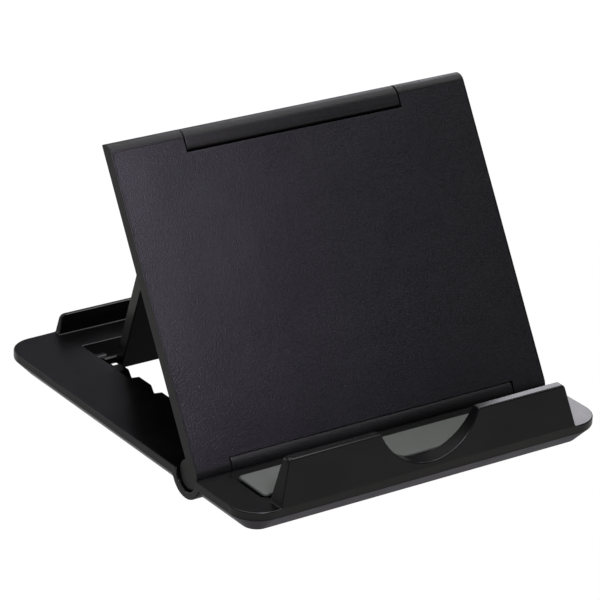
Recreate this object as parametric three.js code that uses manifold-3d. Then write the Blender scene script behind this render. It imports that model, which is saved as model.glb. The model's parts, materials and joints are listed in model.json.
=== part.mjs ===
// A folding phone and tablet stand in black plastic, open at its lowest reading angle.
//
// Millimetres, +Z up, +X to the right, +Y towards the back, origin on the desk under the middle of the base.
// Three bodies: the base (a plate with a front lip, a rear lip and a toothed window), the backrest that leans on
// the hinge behind the front ledge, and the strut that hangs from the backrest's top edge and stands in the teeth.

import * as THREE from 'three';
import { mergeVertices } from 'three/addons/utils/BufferGeometryUtils.js';
import Module from 'manifold-3d';

const wasm = await Module();
wasm.setup();

// ---------------------------------------------------------------- driving dimensions

const GAP = 0.3; // air left between neighbouring pieces

const base = {
  width: 120,
  length: 128,
  cornerRadius: 8.8,
  deckZ: 7.4, // top face
  sideZ: 5.0, // the upright edge runs from here up to the deck, the under-bevel from here down
  bevel: 4.8, // how far the bottom face is set in from the edge
};

const hinge = {
  y: 30.1, // from the base's front edge
  z: 7.05,
  barrelRadius: 4.2, // the base's middle knuckle
  barrelHalf: 47.55,
  knuckleRadius: 4.2, // the backrest's end knuckles
  trenchRadius: 4.65, // clearance cut in the base around the axis
  cradleRadius: 6.8, // outside of the U under each end knuckle
  sideGap: 0.3, // air between the middle knuckle and each end knuckle
  pinRadius: 1.5,
  pinLength: 12,
  pinInBarrel: 3.9,
};

const rest = {
  tilt: 59.5, // degrees between the open backrest and the desk
  halfWidth: 59,
  length: 91.2, // from the hinge axis to the top edge
  backW: 0.6, // back and front faces, measured forward from the hinge axis
  frontW: 4.2,
  topRound: 3,
  slotRadius: 4.5, // the bottom slot is cut round the middle knuckle
  topSlotHalf: 35.9,
  topSlotDepth: 6.9,
  lugRadius: 3,
  lugLength: 6,
};

const skin = {
  thickness: 1.1,
  rim: 0.5, // width of the backrest frame's rim that shows round the front panel
  slotMargin: 0.05, // the panel stays this far back from both slots
};

const strut = {
  angle: 70.76, // degrees between the strut and the desk
  halfWidth: 35.6,
  length: 84.2, // from its axis to its foot
  frontS: 0.7, // front and back faces, measured backward from the strut's axis
  backS: 4.3,
  barrelRadius: 3.2,
  noseRadius: 1.6, // rounding of the nose that fills the slot in front of the barrel while the stand is open
  pinRadius: 1.1,
  pinLength: 8.4,
  pinInBarrel: 4,
  shoulder: 9, // the back face starts this far below the axis
  footBarRadius: 1.2,
  footBarHalf: 39.6,
  footBarLift: 0.8, // height of the bar's middle above the strut's end
};

const frontLip = {
  height: 20.1,
  bottomHalf: 50,
  topHalf: 45.9,
  bottomBack: 5.6,
  topFront: 2.0,
  topBack: 4.9,
  cornerRadius: 1.6,
  notchRadius: 17.4,
  notchCentreZ: 26.3,
};

const rearLip = { height: 13.2, bottomHalf: 42.9, topHalf: 41.2, thickness: 2.6, draft: 0.6, cornerRadius: 2 };

const windowHole = { half: 40.5, frontY: 32.6, backY: 115.4 };

const rack = {
  innerHalf: 36.5,
  crestZ: 6.5,
  rootZ: 4.5,
  pitch: 12.05,
  rampLength: 4.2,
  steepLength: 1.65,
  lastRootY: 106.9, // where the last notch meets its stop
  stopLength: 2.4,
  notches: 5,
  seatLength: 3.0, // flat floor of the last notch, under the strut's foot bar
  seatRampLength: 2.8,
  stopBevel: 0.6,
  leadRampLength: 2.5,
  rooting: 0.5, // how far the rack runs into the window's side wall
};

const web = { bottomZ: 1.4, belowDeck: 1.35, frontMargin: 1, backBevel: 1.5 };

const pad = { halfWidth: 49.5, frontY: 7.8, backY: 20.6, thickness: 1.0, sink: 0.4, cornerRadius: 1.2 };

const foot = { radius: 4.5, draft: 0.4, insetX: 14, insetY: 13, pocket: 0.8, drop: 0.6 };

// ---------------------------------------------------------------- places worked out from the sizes

const knuckleStart = hinge.barrelHalf + hinge.sideGap; // inner end of each of the backrest's knuckles
const topAxis = { v: rest.length - strut.barrelRadius, w: rest.frontW - strut.barrelRadius };
const openAngle = 180 - rest.tilt - strut.angle; // between the strut and the backrest

function pinSpan(barrelEnd, { pinInBarrel, pinLength }) {
  const start = barrelEnd - pinInBarrel;
  return { start, end: start + pinLength };
}

const lowerPin = pinSpan(hinge.barrelHalf, hinge);
const upperPin = pinSpan(strut.halfWidth, strut);

// ---------------------------------------------------------------- solids

const AXIS_SEGMENTS = 40;
const PIN_SEGMENTS = 24;

// A closed three.js geometry as a manifold solid.
function solid(geometry) {
  const bare = geometry.clone();
  bare.deleteAttribute('normal');
  bare.deleteAttribute('uv');
  const merged = mergeVertices(bare, 1e-5);
  const vertProperties = new Float32Array(merged.attributes.position.array);
  const triVerts = new Uint32Array(merged.index.array);
  return new wasm.Manifold(new wasm.Mesh({ numProp: 3, vertProperties, triVerts }));
}

function join(first, ...others) {
  return others.reduce((whole, piece) => whole.add(piece), first);
}

function cut(first, ...tools) {
  return tools.reduce((whole, tool) => whole.subtract(tool), first);
}

// A solid as a named mesh with its own material.
function part(name, manifold, material) {
  const mesh = manifold.getMesh();
  const geometry = new THREE.BufferGeometry();
  geometry.setAttribute('position', new THREE.BufferAttribute(new Float32Array(mesh.vertProperties), 3));
  geometry.setIndex(new THREE.BufferAttribute(new Uint32Array(mesh.triVerts), 1));
  geometry.computeVertexNormals();
  const result = new THREE.Mesh(geometry, material);
  result.name = name;
  return result;
}

function box(x0, x1, y0, y1, z0, z1) {
  const geometry = new THREE.BoxGeometry(x1 - x0, y1 - y0, z1 - z0);
  geometry.translate((x0 + x1) / 2, (y0 + y1) / 2, (z0 + z1) / 2);
  return solid(geometry);
}

// A round bar along X.
function barX(radius, x0, x1, y, z, segments = AXIS_SEGMENTS) {
  const geometry = new THREE.CylinderGeometry(radius, radius, x1 - x0, segments);
  geometry.rotateZ(Math.PI / 2);
  geometry.translate((x0 + x1) / 2, y, z);
  return solid(geometry);
}

// An outline in (y, z), extruded along X.
function prismX(shape, x0, x1, curveSegments = 12) {
  const geometry = new THREE.ExtrudeGeometry(shape, { depth: x1 - x0, bevelEnabled: false, curveSegments });
  const toYZ = new THREE.Matrix4().makeBasis(
    new THREE.Vector3(0, 1, 0),
    new THREE.Vector3(0, 0, 1),
    new THREE.Vector3(1, 0, 0),
  );
  geometry.applyMatrix4(toYZ);
  geometry.translate(x0, 0, 0);
  return solid(geometry);
}

// An outline in (x, z), extruded along Y.
function prismY(shape, y0, y1, curveSegments = 12) {
  const geometry = new THREE.ExtrudeGeometry(shape, { depth: y1 - y0, bevelEnabled: false, curveSegments });
  const toXZ = new THREE.Matrix4().makeBasis(
    new THREE.Vector3(1, 0, 0),
    new THREE.Vector3(0, 0, 1),
    new THREE.Vector3(0, -1, 0),
  );
  geometry.applyMatrix4(toXZ);
  geometry.translate(0, y1, 0);
  return solid(geometry);
}

// An outline in (x, y), extruded up from z0 to z1.
function slab(shape, z0, z1, curveSegments = 12) {
  const geometry = new THREE.ExtrudeGeometry(shape, { depth: z1 - z0, bevelEnabled: false, curveSegments });
  geometry.translate(0, 0, z0);
  return solid(geometry);
}

function polygon(points) {
  return new THREE.Shape(points.map(([a, b]) => new THREE.Vector2(a, b)));
}

// A polygon with some corners rounded: each point is [a, b, radius].
function roundedPolygon(points) {
  const shape = new THREE.Shape();
  const at = (i) => new THREE.Vector2(...points[(i + points.length) % points.length].slice(0, 2));
  points.forEach(([, , radius = 0], i) => {
    const corner = at(i);
    const before = at(i - 1).sub(corner).normalize();
    const after = at(i + 1).sub(corner).normalize();
    const reach = radius / Math.tan(Math.acos(before.dot(after)) / 2);
    const start = corner.clone().addScaledVector(before, reach);
    const end = corner.clone().addScaledVector(after, reach);
    if (i === 0) shape.moveTo(start.x, start.y);
    else shape.lineTo(start.x, start.y);
    if (radius > 0) shape.quadraticCurveTo(corner.x, corner.y, end.x, end.y);
  });
  shape.closePath();
  return shape;
}

function roundedRectangle(x0, x1, y0, y1, radius) {
  const shape = new THREE.Shape();
  shape.moveTo(x0 + radius, y0);
  shape.lineTo(x1 - radius, y0);
  shape.absarc(x1 - radius, y0 + radius, radius, -Math.PI / 2, 0);
  shape.lineTo(x1, y1 - radius);
  shape.absarc(x1 - radius, y1 - radius, radius, 0, Math.PI / 2);
  shape.lineTo(x0 + radius, y1);
  shape.absarc(x0 + radius, y1 - radius, radius, Math.PI / 2, Math.PI);
  shape.lineTo(x0, y0 + radius);
  shape.absarc(x0 + radius, y0 + radius, radius, Math.PI, Math.PI * 1.5);
  shape.closePath();
  return shape;
}

const mirrored = (piece) => piece.add(piece.mirror([1, 0, 0]));

// ---------------------------------------------------------------- materials

function plastic(color, roughness) {
  return new THREE.MeshStandardMaterial({ color, roughness, metalness: 0 });
}

const SATIN_BLACK = 0x1d1d1e;
const GRAINED_BLACK = 0x232026;

// ---------------------------------------------------------------- base

// The plate: an upright edge all round over a bevel that runs in to the bottom face.
function basePlate() {
  const halfX = base.width / 2;
  const full = roundedRectangle(-halfX, halfX, 0, base.length, base.cornerRadius);
  const innerX = halfX - base.bevel;
  const innerRadius = base.cornerRadius - base.bevel;
  const bottom = roundedRectangle(-innerX, innerX, base.bevel, base.length - base.bevel, innerRadius);
  const filmHeight = 0.01;
  return wasm.Manifold.hull([slab(full, base.sideZ, base.deckZ), slab(bottom, 0, filmHeight)]);
}

// The front lip: a trapezoid with a wide round notch, leaning back a little from the base's front edge.
function frontLipSolid() {
  const rootZ = base.sideZ;
  const outline = roundedPolygon([
    [-frontLip.bottomHalf, rootZ],
    [frontLip.bottomHalf, rootZ],
    [frontLip.topHalf, frontLip.height, frontLip.cornerRadius],
    [-frontLip.topHalf, frontLip.height, frontLip.cornerRadius],
  ]);
  const profile = roundedPolygon([
    [0, rootZ],
    [frontLip.bottomBack, rootZ],
    [frontLip.bottomBack, base.deckZ],
    [frontLip.topBack, frontLip.height, 0.7],
    [frontLip.topFront, frontLip.height, 0.5],
    [0, base.deckZ],
  ]);
  const wide = frontLip.bottomHalf + 1;
  const wall = prismY(outline, -1, frontLip.bottomBack + 1).intersect(prismX(profile, -wide, wide));
  const notch = new THREE.Shape();
  notch.absarc(0, frontLip.notchCentreZ, frontLip.notchRadius, 0, Math.PI * 2);
  return cut(wall, prismY(notch, -1, frontLip.bottomBack + 1, 48));
}

function rearLipSolid() {
  const rootZ = base.sideZ;
  const back = base.length;
  const front = back - rearLip.thickness;
  const outline = roundedPolygon([
    [-rearLip.bottomHalf, rootZ],
    [rearLip.bottomHalf, rootZ],
    [rearLip.topHalf, rearLip.height, rearLip.cornerRadius],
    [-rearLip.topHalf, rearLip.height, rearLip.cornerRadius],
  ]);
  const profile = roundedPolygon([
    [front, rootZ],
    [back, rootZ],
    [back, base.deckZ],
    [back - rearLip.draft, rearLip.height, 0.8],
    [front + rearLip.draft, rearLip.height, 0.5],
    [front, base.deckZ],
  ]);
  const wide = rearLip.bottomHalf + 1;
  return prismY(outline, front - 1, back + 1).intersect(prismX(profile, -wide, wide));
}

// One toothed rack: flat crests, a steep face towards the front of each crest and a ramp behind it.
function rackSolid() {
  const points = [];
  const stopBack = rack.lastRootY + rack.steepLength + rack.stopLength;
  const stopShoulder = rack.crestZ - rack.stopBevel;
  points.push([stopBack, 0], [stopBack, stopShoulder], [stopBack - rack.stopBevel, rack.crestZ]);
  for (let i = 0; i < rack.notches; i += 1) {
    const rootY = rack.lastRootY - i * rack.pitch;
    points.push([rootY + rack.steepLength, rack.crestZ], [rootY, rack.rootZ]);
    if (i === 0) {
      points.push([rootY - rack.seatLength, rack.rootZ]);
      points.push([rootY - rack.seatLength - rack.seatRampLength, rack.crestZ]);
    } else {
      points.push([rootY - rack.rampLength, rack.crestZ]);
    }
  }
  const firstCrestY = rack.lastRootY - rack.notches * rack.pitch + rack.steepLength;
  const leadY = firstCrestY - rack.leadRampLength;
  points.push([firstCrestY, rack.crestZ], [leadY, rack.rootZ], [leadY, 0]);
  return prismX(polygon(points.reverse()), rack.innerHalf, windowHole.half + rack.rooting);
}

// The middle knuckle of the hinge and the web that carries it from the front ledge.
function baseKnuckle() {
  const { y, z, barrelRadius, barrelHalf, trenchRadius } = hinge;
  const barrel = barX(barrelRadius, -barrelHalf, barrelHalf, y, z);
  const frontY = y - trenchRadius - web.frontMargin;
  const outline = polygon([
    [frontY, web.bottomZ],
    [y - web.backBevel, web.bottomZ],
    [y, web.bottomZ + web.backBevel],
    [y, z],
    [frontY, base.deckZ - web.belowDeck],
  ]);
  return join(barrel, prismX(outline, -barrelHalf, barrelHalf));
}

function baseFrame() {
  const halfX = base.width / 2;
  const { y, z, trenchRadius, cradleRadius, barrelHalf } = hinge;
  const cradleTop = base.deckZ - GAP;
  const cradle = barX(cradleRadius, knuckleStart, halfX, y, z).trimByPlane([0, 0, -1], -cradleTop);
  let body = join(basePlate(), mirrored(cradle), frontLipSolid(), rearLipSolid());
  const windowBox = box(-windowHole.half, windowHole.half, windowHole.frontY, windowHole.backY, -1, 20);
  body = cut(body, barX(trenchRadius, -halfX - 1, halfX + 1, y, z), windowBox);
  body = join(body, mirrored(rackSolid()), baseKnuckle());
  const sink = roundedRectangle(
    -pad.halfWidth - GAP, pad.halfWidth + GAP, pad.frontY - GAP, pad.backY + GAP, pad.cornerRadius);
  body = cut(body, slab(sink, base.deckZ - pad.sink, base.deckZ + 1));
  for (const [x, footY] of footPlaces()) {
    const pocket = new THREE.CylinderGeometry(foot.radius + GAP, foot.radius + GAP, foot.pocket * 2, 32);
    pocket.rotateX(Math.PI / 2);
    pocket.translate(x, footY, 0);
    body = cut(body, solid(pocket));
  }
  const boreStart = barrelHalf - hinge.pinInBarrel - GAP;
  const bore = barX(hinge.pinRadius + GAP, boreStart, barrelHalf + 1, y, z, PIN_SEGMENTS);
  return cut(body, mirrored(bore));
}

function footPlaces() {
  const x = base.width / 2 - foot.insetX;
  return [-x, x].flatMap((side) => [foot.insetY, base.length - foot.insetY].map((y) => [side, y]));
}

function footDisc(x, y) {
  const top = foot.pocket - GAP;
  const height = top + foot.drop;
  const disc = new THREE.CylinderGeometry(foot.radius, foot.radius - foot.draft, height, 32);
  disc.rotateX(Math.PI / 2);
  disc.translate(x, y, top - height / 2);
  return solid(disc);
}

function ledgePad() {
  const shape = roundedRectangle(-pad.halfWidth, pad.halfWidth, pad.frontY, pad.backY, pad.cornerRadius);
  const bottom = base.deckZ - pad.sink + GAP;
  return slab(shape, bottom, base.deckZ + pad.thickness);
}

// ---------------------------------------------------------------- backrest (local: z along the panel, -y forward)

function backrestFrame() {
  const { halfWidth, length, backW, frontW, topRound, slotRadius } = rest;
  const { topSlotHalf, topSlotDepth, lugRadius, lugLength } = rest;
  const profile = new THREE.Shape();
  profile.moveTo(-backW, length);
  profile.lineTo(-backW, 0);
  profile.lineTo(-frontW, 0);
  profile.lineTo(-frontW, length - topRound);
  profile.absarc(-frontW + topRound, length - topRound, topRound, Math.PI, Math.PI / 2, true);
  profile.closePath();
  const knuckle = barX(hinge.knuckleRadius, knuckleStart, halfWidth, 0, 0);
  const lug = barX(lugRadius, topSlotHalf, topSlotHalf + lugLength, -topAxis.w, topAxis.v);
  let body = join(prismX(profile, -halfWidth, halfWidth), mirrored(knuckle), mirrored(lug));
  const topSlot = box(-topSlotHalf, topSlotHalf, -10, 10, length - topSlotDepth, length + 1);
  body = cut(body, barX(slotRadius, -knuckleStart, knuckleStart, 0, 0), topSlot);
  const pocket = prismY(panelOutline(GAP), -frontW - 1, -frontW + skin.thickness + GAP);
  body = cut(body, pocket);
  const lowerBore = barX(hinge.pinRadius + GAP, knuckleStart - 1, lowerPin.end + GAP, 0, 0, PIN_SEGMENTS);
  const upperBore = barX(
    strut.pinRadius + GAP, topSlotHalf - 1, upperPin.end + GAP, -topAxis.w, topAxis.v, PIN_SEGMENTS);
  return cut(body, mirrored(lowerBore), mirrored(upperBore));
}

// The grained front panel's outline in (x, z), grown by some margin on the sides and the top.
function panelOutline(grow) {
  const side = rest.halfWidth - skin.rim - GAP + grow;
  const topSlotSide = rest.topSlotHalf + skin.slotMargin - grow;
  const topSlotFloor = rest.length - rest.topSlotDepth - skin.slotMargin + grow;
  const top = rest.length - rest.topRound - GAP + grow;
  const bottom = skin.rim - grow;
  return polygon([
    [-side, bottom],
    [side, bottom],
    [side, top],
    [topSlotSide, top],
    [topSlotSide, topSlotFloor],
    [-topSlotSide, topSlotFloor],
    [-topSlotSide, top],
    [-side, top],
  ]);
}

function backrestPanel() {
  const plate = prismY(panelOutline(0), -rest.frontW, -rest.frontW + skin.thickness);
  const slotSide = knuckleStart + skin.slotMargin;
  return cut(plate, barX(rest.slotRadius + skin.slotMargin, -slotSide, slotSide, 0, 0));
}

// ---------------------------------------------------------------- strut (local: -z along the strut, +y backward)

function strutSolid() {
  const { barrelRadius, frontS, backS, length, halfWidth, shoulder } = strut;
  const reach = Math.hypot(backS, shoulder);
  const tangent = Math.atan2(backS, shoulder) + Math.acos(barrelRadius / reach);
  const profile = roundedPolygon([
    [frontS, -Math.sqrt(barrelRadius ** 2 - frontS ** 2) + 0.5],
    [barrelRadius * Math.sin(tangent), -barrelRadius * Math.cos(tangent)],
    [backS, -shoulder],
    [backS, -length, 0.8],
    [frontS, -length, 0.5],
  ]);
  const panel = prismX(profile, -halfWidth, halfWidth);
  const barZ = -length + strut.footBarLift;
  const footBar = barX(strut.footBarRadius, -strut.footBarHalf, strut.footBarHalf, backS, barZ, PIN_SEGMENTS);
  const bore = barX(strut.pinRadius + GAP, upperPin.start - GAP, halfWidth + 1, 0, 0, PIN_SEGMENTS);
  return cut(join(panel, strutHead(), footBar), mirrored(bore));
}

// The barrel and its nose, which lies along the backrest's front while the stand is open.
// Both are drawn in the backrest's directions, so that the nose's side runs smoothly into the barrel.
function strutHead() {
  const { barrelRadius, halfWidth, noseRadius } = strut;
  const barrel = barX(barrelRadius, -halfWidth, halfWidth, 0, 0);
  const nose = roundedPolygon([
    [0, 0],
    [-barrelRadius, 0],
    [-barrelRadius, -barrelRadius, noseRadius],
    [0, -barrelRadius],
  ]);
  return join(barrel, prismX(nose, -halfWidth, halfWidth)).rotate([-openAngle, 0, 0]);
}

// ---------------------------------------------------------------- assembly

const stand = new THREE.Group();
stand.position.set(0, -base.length / 2, foot.drop);

stand.add(part('base_frame', baseFrame(), plastic(SATIN_BLACK, 0.45)));
stand.add(part('ledge_pad', ledgePad(), plastic(0x64676a, 0.7)));
footPlaces().forEach(([x, y], i) => {
  stand.add(part(`rubber_foot_${i + 1}`, footDisc(x, y), plastic(0x2b2b2c, 0.9)));
});

const backrest = new THREE.Group();
backrest.position.set(0, hinge.y, hinge.z);
backrest.rotation.x = THREE.MathUtils.degToRad(rest.tilt - 90);
stand.add(backrest);
backrest.add(part('backrest_frame', backrestFrame(), plastic(SATIN_BLACK, 0.5)));
backrest.add(part('backrest_panel', backrestPanel(), plastic(GRAINED_BLACK, 0.6)));

const hang = new THREE.Group();
hang.position.set(0, -topAxis.w, topAxis.v);
backrest.add(hang);
const strutGroup = new THREE.Group();
strutGroup.rotation.x = THREE.MathUtils.degToRad(openAngle);
hang.add(strutGroup);
strutGroup.add(part('strut', strutSolid(), plastic(SATIN_BLACK, 0.5)));

for (const [side, sign] of [['left', -1], ['right', 1]]) {
  const steel = () => new THREE.MeshStandardMaterial({ color: 0x9a9b9d, roughness: 0.35, metalness: 1 });
  const lower = barX(hinge.pinRadius, lowerPin.start, lowerPin.end, 0, 0, PIN_SEGMENTS);
  const upper = barX(strut.pinRadius, upperPin.start, upperPin.end, -topAxis.w, topAxis.v, PIN_SEGMENTS);
  const place = (pin) => (sign < 0 ? pin.mirror([1, 0, 0]) : pin);
  backrest.add(part(`lower_hinge_pin_${side}`, place(lower), steel()));
  backrest.add(part(`upper_hinge_pin_${side}`, place(upper), steel()));
}

export default stand;
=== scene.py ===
"""Looks of a folding phone and tablet stand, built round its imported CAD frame.

Every shown piece is a rounded copy of a CAD node: its flat areas are joined, its edges get the small radii of
moulded plastic, and it rides on the same body. Metres, in the CAD frame: +Y to the back, +Z up.
"""

import json
import math

import bmesh
import bpy
from mathutils import Matrix, Vector

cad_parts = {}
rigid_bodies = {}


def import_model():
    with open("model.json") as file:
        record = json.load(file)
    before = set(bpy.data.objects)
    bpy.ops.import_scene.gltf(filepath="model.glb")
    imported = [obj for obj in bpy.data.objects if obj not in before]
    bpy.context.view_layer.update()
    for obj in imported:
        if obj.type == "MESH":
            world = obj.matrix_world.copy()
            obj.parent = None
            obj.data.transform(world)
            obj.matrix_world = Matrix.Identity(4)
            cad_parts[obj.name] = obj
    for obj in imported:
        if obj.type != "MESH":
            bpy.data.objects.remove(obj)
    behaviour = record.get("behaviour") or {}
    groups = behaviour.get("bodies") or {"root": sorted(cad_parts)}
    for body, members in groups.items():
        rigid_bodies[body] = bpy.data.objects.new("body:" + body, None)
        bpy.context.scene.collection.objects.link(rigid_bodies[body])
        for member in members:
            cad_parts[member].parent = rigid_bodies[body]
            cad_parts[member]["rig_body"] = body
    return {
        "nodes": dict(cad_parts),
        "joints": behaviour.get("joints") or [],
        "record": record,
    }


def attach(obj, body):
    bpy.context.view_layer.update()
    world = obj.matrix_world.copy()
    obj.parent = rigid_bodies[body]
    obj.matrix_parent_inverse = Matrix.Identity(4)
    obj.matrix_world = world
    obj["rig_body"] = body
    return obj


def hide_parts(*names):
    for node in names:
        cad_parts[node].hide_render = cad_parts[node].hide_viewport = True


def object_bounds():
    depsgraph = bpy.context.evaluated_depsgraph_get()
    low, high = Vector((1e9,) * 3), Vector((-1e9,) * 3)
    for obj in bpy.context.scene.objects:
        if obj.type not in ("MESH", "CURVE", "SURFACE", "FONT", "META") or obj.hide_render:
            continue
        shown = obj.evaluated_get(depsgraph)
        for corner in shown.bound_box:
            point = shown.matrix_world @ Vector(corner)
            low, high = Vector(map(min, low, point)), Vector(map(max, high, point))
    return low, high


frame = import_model()
CAD_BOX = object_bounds()
MM = 0.001

# ---------------------------------------------------------------- node helpers


class Nodes:
    """A material's node tree, with short ways to add nodes and to link them."""

    def __init__(self, name):
        self.material = bpy.data.materials.new(name)
        self.material.use_nodes = True
        self.tree = self.material.node_tree
        self.shader = self.tree.nodes["Principled BSDF"]
        coordinates = self.tree.nodes.new("ShaderNodeTexCoord")
        self.place = coordinates.outputs["Object"]

    def link(self, source, target):
        self.tree.links.new(source, target)

    def noise(self, period, detail=2.0, roughness=0.5):
        """Noise whose features are about one period wide, in metres."""
        node = self.tree.nodes.new("ShaderNodeTexNoise")
        node.inputs["Scale"].default_value = 1 / period
        node.inputs["Detail"].default_value = detail
        node.inputs["Roughness"].default_value = roughness
        self.link(self.place, node.inputs["Vector"])
        return node.outputs["Fac"]

    def grain_and_glint_specks(self, size):
        """A different value, from 0 to 1, for each grain of about this size, in metres."""
        node = self.tree.nodes.new("ShaderNodeTexVoronoi")
        node.inputs["Scale"].default_value = 1 / size
        self.link(self.place, node.inputs["Vector"])
        split = self.tree.nodes.new("ShaderNodeSeparateColor")
        self.link(node.outputs["Color"], split.inputs["Color"])
        return split.outputs["Red"]

    def spread(self, value, low, high, centre=0.5, reach=0.25):
        """The noise value, from centre - reach to centre + reach, spread over low to high."""
        node = self.tree.nodes.new("ShaderNodeMapRange")
        node.inputs["From Min"].default_value = centre - reach
        node.inputs["From Max"].default_value = centre + reach
        node.inputs["To Min"].default_value = low
        node.inputs["To Max"].default_value = high
        self.link(value, node.inputs["Value"])
        return node.outputs["Result"]

    def colours(self, value, dark, light):
        """A colour from dark to light, as the value goes from 0 to 1."""
        node = self.tree.nodes.new("ShaderNodeMix")
        node.data_type = "RGBA"
        node.inputs["A"].default_value = (*dark, 1)
        node.inputs["B"].default_value = (*light, 1)
        self.link(value, node.inputs["Factor"])
        return node.outputs["Result"]

    def bump(self, height, distance, under=None):
        """The normal of a surface that rises by a distance, in metres, as height goes from 0 to 1."""
        node = self.tree.nodes.new("ShaderNodeBump")
        node.inputs["Distance"].default_value = distance
        self.link(height, node.inputs["Height"])
        if under is not None:
            self.link(under, node.inputs["Normal"])
        return node.outputs["Normal"]

    def finish(self, colour, roughness, normal, specular=0.5):
        """Links the shader's inputs, and gives back the material."""
        self.link(colour, self.shader.inputs["Base Color"])
        self.link(roughness, self.shader.inputs["Roughness"])
        self.link(normal, self.shader.inputs["Normal"])
        self.shader.inputs["Specular IOR Level"].default_value = specular
        return self.material


# ---------------------------------------------------------------- materials

GRAIN_SIZE = 0.38 * MM  # of the eroded grain
GLINT_SPECK_SIZE = 0.36 * MM  # of the specks: painted glints, lighter grains in the plastic's colour
FINE_GRAIN = 0.07 * MM  # depth of the grain on the barrels and on the backrest's edges
FACE_GRAIN = 0.14 * MM  # depth of the grain on the backrest's face
PIN_MARK_STRETCH = 0.04  # how much the drawing marks are stretched along the pin


def satin_plastic():
    """Black moulding with a satin face: a very fine texture over the wide, shallow sinks of its cooling."""
    n = Nodes("satin_black_plastic")
    fine = n.noise(0.3 * MM, detail=1)
    cloud = n.noise(14 * MM, detail=3)
    colour = n.colours(n.spread(cloud, 0, 1), (0.0014, 0.0014, 0.0013), (0.0024, 0.0023, 0.0022))
    roughness = n.spread(n.noise(5 * MM, detail=4), 0.20, 0.27)
    sinks = n.bump(n.noise(24 * MM, detail=1), distance=0.7 * MM)
    normal = n.bump(fine, distance=0.004 * MM, under=sinks)
    return n.finish(colour, roughness, normal)


def grained_plastic(name, dark, light, depth):
    """Spark-eroded black plastic, over wide, shallow sinks: its bumped grain breaks the light into fine
    specks, and painted glints, lighter specks in its colour, add to them.
    """
    n = Nodes(name)
    grain_and_glint_specks = n.grain_and_glint_specks(GLINT_SPECK_SIZE)
    # colour: a random tone for each speck, partly the grain's own tone and partly painted glints, where the
    # lighter specks stand for light caught by the grain
    colour = n.colours(grain_and_glint_specks, dark, light)
    roughness = n.spread(n.noise(9 * MM, detail=3), 0.40, 0.48)
    sinks = n.bump(n.noise(30 * MM, detail=1), distance=0.8 * MM)
    grain = n.bump(n.noise(GRAIN_SIZE, detail=1), distance=depth, under=sinks)
    normal = n.bump(grain_and_glint_specks, distance=0.2 * depth, under=grain)
    return n.finish(colour, roughness, normal)


def pad_rubber():
    """Grey rubber of the ledge pad, matt, with a faint dusty mottle."""
    n = Nodes("grey_pad_rubber")
    mottle = n.noise(3 * MM, detail=4)
    colour = n.colours(n.spread(mottle, 0, 1), (0.120, 0.130, 0.114), (0.136, 0.146, 0.130))
    roughness = n.spread(mottle, 0.55, 0.65)
    normal = n.bump(n.noise(0.3 * MM, detail=2), distance=0.008 * MM)
    return n.finish(colour, roughness, normal, specular=0.35)


def foot_rubber():
    """Black rubber of the feet, matt and a little rough."""
    n = Nodes("black_foot_rubber")
    mottle = n.noise(1.2 * MM, detail=4)
    colour = n.colours(n.spread(mottle, 0, 1), (0.014, 0.014, 0.014), (0.024, 0.024, 0.025))
    roughness = n.spread(mottle, 0.75, 0.9)
    normal = n.bump(mottle, distance=0.03 * MM)
    return n.finish(colour, roughness, normal, specular=0.3)


def pin_steel():
    """Drawn steel, with fine marks along the pin, which lies along X."""
    n = Nodes("drawn_pin_steel")
    stretch = n.tree.nodes.new("ShaderNodeVectorMath")
    stretch.operation = "MULTIPLY"
    stretch.inputs[1].default_value = (PIN_MARK_STRETCH, 1, 1)
    n.link(n.place, stretch.inputs[0])
    n.place = stretch.outputs["Vector"]
    marks = n.noise(0.12 * MM, detail=2)
    colour = n.colours(n.spread(marks, 0, 1), (0.42, 0.42, 0.43), (0.56, 0.56, 0.57))
    roughness = n.spread(marks, 0.25, 0.4)
    normal = n.bump(marks, distance=0.004 * MM)
    n.shader.inputs["Metallic"].default_value = 1.0
    return n.finish(colour, roughness, normal)


# ---------------------------------------------------------------- pieces

FLAT = math.radians(0.8)  # faces this close in direction are one flat area
EDGE = math.radians(28)  # edges sharper than this get rounded
WELD = 0.002 * MM  # corners this close are one
ON_THE_SIDE = 0.01 * MM  # corners this close to the furthest one are on the panel's side
PANEL_GROWTH = 0.29 * MM  # leaves a hairline of the 0.3 mm gap round the panel
BASE_BARREL_REACH = 4.4 * MM  # from the axis: the barrel's skin, and not the trench round it
STRUT_BARREL_REACH = 4.6 * MM  # from the axis: the barrel and its nose
FACE = next(Vector(m["axis"]) for m in frame["record"]["mounts"] if m["name"] == "device_backrest")
UP_THE_FACE = Vector((0, FACE.z, -FACE.y))


def welded(node, name):
    """A new object with the CAD node's shape, where each flat area is one face."""
    mesh = frame["nodes"][node].data.copy()
    mesh.name = name
    work = bmesh.new()
    work.from_mesh(mesh)
    bmesh.ops.remove_doubles(work, verts=work.verts, dist=WELD)
    bmesh.ops.dissolve_limit(work, angle_limit=FLAT, verts=work.verts, edges=work.edges)
    bmesh.ops.recalc_face_normals(work, faces=work.faces)
    for face in work.faces:
        face.smooth = True
    work.to_mesh(mesh)
    work.free()
    for attribute in [a for a in mesh.attributes if a.name in ("custom_normal", "sharp_edge")]:
        mesh.attributes.remove(attribute)
    mesh.materials.clear()
    piece = bpy.data.objects.new(name, mesh)
    bpy.context.scene.collection.objects.link(piece)
    return piece


def widened(piece, grow):
    """Moves the backrest panel's outer sides out by grow, towards the frame round it."""
    vertices = piece.data.vertices
    for axis in (Vector((1, 0, 0)), UP_THE_FACE):
        places = [vertex.co.dot(axis) for vertex in vertices]
        lowest, highest = min(places), max(places)
        for vertex, place in zip(vertices, places):
            if place > highest - ON_THE_SIDE:
                vertex.co += axis * grow
            elif place < lowest + ON_THE_SIDE:
                vertex.co -= axis * grow


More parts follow.
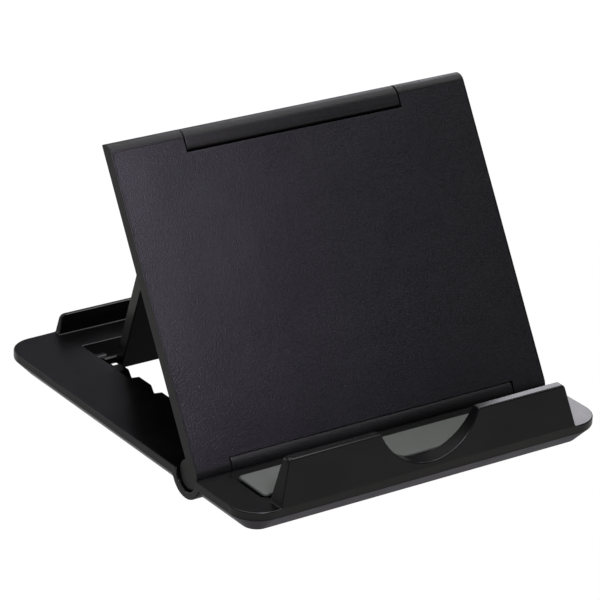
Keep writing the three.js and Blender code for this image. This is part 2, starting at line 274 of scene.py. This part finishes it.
def rounded(piece, radius, segments=3):
    """Rounds the piece's sharp edges, and draws in what few corners then stand out of the piece's own box."""
    corners = [vertex.co for vertex in piece.data.vertices]
    low = [min(corner[i] for corner in corners) for i in range(3)]
    high = [max(corner[i] for corner in corners) for i in range(3)]
    bevel = piece.modifiers.new("edge_radius", "BEVEL")
    bevel.width = radius
    bevel.segments = segments
    bevel.limit_method = "ANGLE"
    bevel.angle_limit = EDGE
    bevel.use_clamp_overlap = False
    bevel.miter_outer = "MITER_ARC"
    bevel.loop_slide = False
    sharp = piece.data
    graph = bpy.context.evaluated_depsgraph_get()
    piece.data = bpy.data.meshes.new_from_object(piece.evaluated_get(graph))
    piece.modifiers.clear()
    bpy.data.meshes.remove(sharp)
    for vertex in piece.data.vertices:
        vertex.co = [min(max(vertex.co[i], low[i]), high[i]) for i in range(3)]
    shading = piece.modifiers.new("face_weighted_normals", "WEIGHTED_NORMAL")
    shading.keep_sharp = False
    shading.weight = 60


def stand_in(node, name, radius, material, segments=3, grow=0):
    """The shown piece for one CAD node, on the same body."""
    piece = welded(node, name)
    if grow:
        widened(piece, grow)
    rounded(piece, radius, segments)
    piece.data.materials.append(material)
    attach(piece, frame["nodes"][node]["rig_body"])
    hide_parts(node)
    return piece


def grain_barrel(piece, joint, reach, material):
    """Gives the faces within reach of a joint's axis, which is along X, their own finish."""
    axis = next(Vector(j["pos_m"]) for j in frame["joints"] if j["name"] == joint)
    piece.data.materials.append(material)
    for face in piece.data.polygons:
        offset = face.center - axis
        if math.hypot(offset.y, offset.z) < reach:
            face.material_index = 1


def make_pieces():
    """All thirteen pieces, with their edge radii and finishes."""
    satin = satin_plastic()
    # the light colour of each grained plastic is that of its painted glints; the dark colour is the plastic's
    # own
    edging = grained_plastic(
        "finely_grained_plastic", (0.0020, 0.0020, 0.0018), (0.0080, 0.0078, 0.0074), FINE_GRAIN
    )
    face = grained_plastic(
        "grained_black_plastic", (0.0016, 0.0014, 0.0021), (0.0125, 0.0112, 0.0162), FACE_GRAIN
    )
    foot = foot_rubber()
    steel = pin_steel()
    base = stand_in("base_frame", "base_moulding", 0.35 * MM, satin)
    grain_barrel(base, "backrest_fold", BASE_BARREL_REACH, edging)
    stand_in("ledge_pad", "ledge_pad_rubber", 0.45 * MM, pad_rubber(), segments=4)
    stand_in("backrest_frame", "backrest_moulding", 0.12 * MM, edging)
    stand_in("backrest_panel", "backrest_face", 0.12 * MM, face, grow=PANEL_GROWTH)
    strut = stand_in("strut", "strut_moulding", 0.3 * MM, satin)
    grain_barrel(strut, "strut_fold", STRUT_BARREL_REACH, edging)
    for number in range(1, 5):
        stand_in(f"rubber_foot_{number}", f"foot_disc_{number}", 0.3 * MM, foot)
    for height in ("lower", "upper"):
        for side in ("left", "right"):
            pin = f"{height}_hinge_pin_{side}"
            stand_in(pin, f"{height}_pin_{side}_steel", 0.15 * MM, steel)


# ---------------------------------------------------------------- studio

LOW, HIGH = CAD_BOX
CENTRE = (LOW + HIGH) / 2
ROOM_RADIUS = 5.0
SHADE_INSET = 9 * MM  # from the base's sides to the shaded floor's
SHADE_BRIGHTNESS = 0.06
# The room's light by direction, from straight down (-1) over the horizon (0) to straight up (1).
ROOM = (
    (-1.0, (0.16, 0.15, 0.17)),
    (-0.6, (0.26, 0.25, 0.27)),
    (-0.4, (0.52, 0.53, 0.50)),
    (-0.1, (0.24, 0.24, 0.25)),
    (0.1, (0.19, 0.19, 0.21)),
    (0.35, (0.12, 0.12, 0.14)),
    (0.7, (0.115, 0.11, 0.14)),
    (1.0, (0.20, 0.20, 0.21)),
)


def lit_surface(name, mesh, brightness, albedo=0.0):
    """A matt surface of the studio, no part of the stand, that gives off its own even light."""
    material = bpy.data.materials.new(name)
    material.use_nodes = True
    shader = material.node_tree.nodes["Principled BSDF"]
    shader.inputs["Base Color"].default_value = (albedo, albedo, albedo, 1)
    shader.inputs["Roughness"].default_value = 0.9
    shader.inputs["Specular IOR Level"].default_value = 0.0
    shader.inputs["Emission Color"].default_value = (1, 1, 1, 1)
    shader.inputs["Emission Strength"].default_value = brightness
    mesh.materials.append(material)
    surface = bpy.data.objects.new(name, mesh)
    bpy.context.scene.collection.objects.link(surface)
    return surface


def make_floor():
    """A wide white floor under the feet; reflections show the room and the shade in its place."""
    mesh = bpy.data.meshes.new("floor")
    work = bmesh.new()
    bmesh.ops.create_circle(work, cap_ends=True, radius=ROOM_RADIUS, segments=64)
    work.to_mesh(mesh)
    work.free()
    floor = lit_surface("floor", mesh, 1.0, albedo=0.02)
    floor.location.z = LOW.z
    floor.visible_glossy = False


def make_shade():
    """The floor's shaded part under the stand, which only shows in the stand's own reflections."""
    left, right = LOW.x + SHADE_INSET, HIGH.x - SHADE_INSET
    front, rear = LOW.y + SHADE_INSET, HIGH.y - SHADE_INSET
    mesh = bpy.data.meshes.new("shade")
    corners = [(x, y, LOW.z) for x, y in ((left, front), (right, front), (right, rear), (left, rear))]
    mesh.from_pydata(corners, [], [(0, 1, 2, 3)])
    shade = lit_surface("shade", mesh, SHADE_BRIGHTNESS)
    shade.visible_camera = False
    shade.visible_diffuse = False
    shade.visible_shadow = False


def make_backdrop():
    """A white dome that only the camera sees, so that the floor runs into white from every side."""
    mesh = bpy.data.meshes.new("backdrop")
    work = bmesh.new()
    bmesh.ops.create_uvsphere(work, u_segments=48, v_segments=24, radius=ROOM_RADIUS)
    work.to_mesh(mesh)
    work.free()
    dome = lit_surface("backdrop", mesh, 1.0)
    dome.visible_glossy = False
    dome.visible_diffuse = False
    dome.visible_transmission = False
    dome.visible_shadow = False


def make_world():
    """Light all round that depends on height only; it lights the stand and shows in its reflections."""
    world = bpy.data.worlds.new("studio")
    world.use_nodes = True
    tree = world.node_tree
    direction = tree.nodes.new("ShaderNodeTexCoord")
    split = tree.nodes.new("ShaderNodeSeparateXYZ")
    ramp = tree.nodes.new("ShaderNodeValToRGB")
    upward = tree.nodes.new("ShaderNodeMapRange")
    upward.inputs["From Min"].default_value = -1
    tree.links.new(direction.outputs["Generated"], split.inputs["Vector"])
    tree.links.new(split.outputs["Z"], upward.inputs["Value"])
    tree.links.new(upward.outputs["Result"], ramp.inputs["Fac"])
    stops = ramp.color_ramp.elements
    stops[0].color = (*ROOM[0][1], 1)
    stops[1].color = (*ROOM[-1][1], 1)
    for height, colour in ROOM[1:-1]:
        stops.new((height + 1) / 2).color = (*colour, 1)
    tree.links.new(ramp.outputs["Color"], tree.nodes["Background"].inputs["Color"])
    bpy.context.scene.world = world


def soft_light(name, place, target, size, power, colour=(1, 1, 1), spread=180):
    """A softbox that faces its target, out of the camera's sight; both in metres from the stand's middle."""
    data = bpy.data.lights.new(name, "AREA")
    data.shape = "RECTANGLE"
    data.size, data.size_y = size
    data.energy = power
    data.color = colour
    data.spread = math.radians(spread)
    light = bpy.data.objects.new(name, data)
    light.location = CENTRE + Vector(place)
    light.rotation_euler = (Vector(target) - Vector(place)).to_track_quat("-Z", "Y").to_euler()
    light.visible_camera = False
    bpy.context.scene.collection.objects.link(light)


def make_lights():
    """One light overhead, two behind the stand, a weak one on the upper barrel, a small one by the face."""
    middle = (0, 0, 0)
    lilac_white, lilac = (0.96, 0.94, 1.0), (0.88, 0.80, 1.0)
    soft_light("overhead", (0.0, 0.1, 1.2), middle, (1.6, 1.6), 11)
    soft_light("back_right", (0.71, 0.65, 0.42), middle, (0.36, 0.5), 1.9, lilac_white)
    soft_light("on_the_barrel", (0.24, -0.04, 0.36), (0.03, 0.02, 0.055), (0.14, 0.14), 0.006, spread=30)
    soft_light("behind", (-0.25, 0.95, 0.25), middle, (1.1, 0.4), 1.4)
    by_the_face = (-0.058, -0.16, 0.145)
    soft_light("by_the_face", by_the_face, (-0.12, 0.0, 0.03), (0.08, 0.08), 0.125, lilac, spread=100)


def make_camera():
    """At the photograph's viewing angle, a long lens a metre away."""
    focal = 201.66
    azimuth, elevation, roll = math.radians(-35.21), math.radians(23.43), math.radians(2.02)
    place = Vector((-0.49994, -0.70758, 0.40832))
    back = Vector((
        math.sin(azimuth) * math.cos(elevation),
        -math.cos(azimuth) * math.cos(elevation),
        math.sin(elevation),
    ))
    data = bpy.data.cameras.new("camera")
    data.sensor_width = 36
    data.lens = focal
    data.clip_start = 0.05
    data.clip_end = 50
    camera = bpy.data.objects.new("camera", data)
    turn = (-back).to_track_quat("-Z", "Y").to_matrix() @ Matrix.Rotation(roll, 3, "Z")
    camera.matrix_world = Matrix.Translation(place) @ turn.to_4x4()
    bpy.context.scene.collection.objects.link(camera)
    bpy.context.scene.camera = camera


bpy.context.scene.view_settings.view_transform = "Standard"
make_pieces()
make_floor()
make_shade()
make_backdrop()
make_world()
make_lights()
make_camera()
